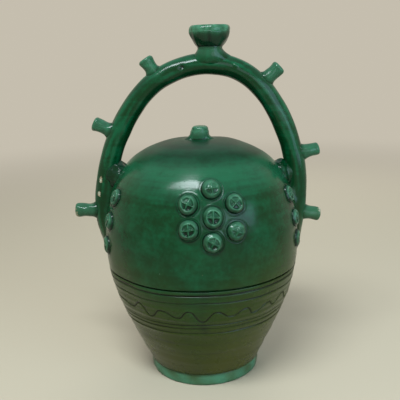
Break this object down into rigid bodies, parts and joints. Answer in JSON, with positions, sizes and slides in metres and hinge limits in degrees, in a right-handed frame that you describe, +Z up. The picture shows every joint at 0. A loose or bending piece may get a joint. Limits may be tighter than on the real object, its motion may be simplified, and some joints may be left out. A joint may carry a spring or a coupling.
{
  "type": "hoop-handled jug",
  "caption": "Green-glazed earthenware drinking jug: closed round belly on a foot ring, hollow hoop handle filled through a funnel, with drinking spouts.",
  "frame": {"origin": "centre of the foot ring's lower face, on the table", "axes": "+Z up along the body's axis, +X towards the right arm of the handle, the rosette faces -Y"},
  "size_m": [0.2362, 0.1888, 0.3302],
  "materials": {
    "glaze_deep": "gloss",
    "glaze_light": "gloss"
  },
  "bodies": {
    "root": {"belly": "glaze_deep", "dome": "glaze_deep", "foot_ring": "glaze_light", "crown_knob": "glaze_light", "handle_hoop": "glaze_deep", "left_root_wad": "glaze_deep", "right_root_wad": "glaze_deep", "funnel_collar": "glaze_light", "funnel_cup": "glaze_light", "spout_left_upper": "glaze_light", "spout_left_middle": "glaze_light", "spout_left_lower": "glaze_light", "spout_right_upper": "glaze_light", "spout_right_middle": "glaze_light", "spout_right_lower": "glaze_light", "rosette_centre": "glaze_light", "rosette_top": "glaze_light", "rosette_upper_left": "glaze_light", "rosette_upper_right": "glaze_light", "rosette_lower_left": "glaze_light", "rosette_lower_right": "glaze_light", "rosette_bottom": "glaze_light", "left_root_boss_upper": "glaze_light", "left_root_boss_middle": "glaze_light", "left_root_boss_lower": "glaze_light", "right_root_boss_upper": "glaze_light", "right_root_boss_middle": "glaze_light", "right_root_boss_lower": "glaze_light"}
  },
  "joints": []
}
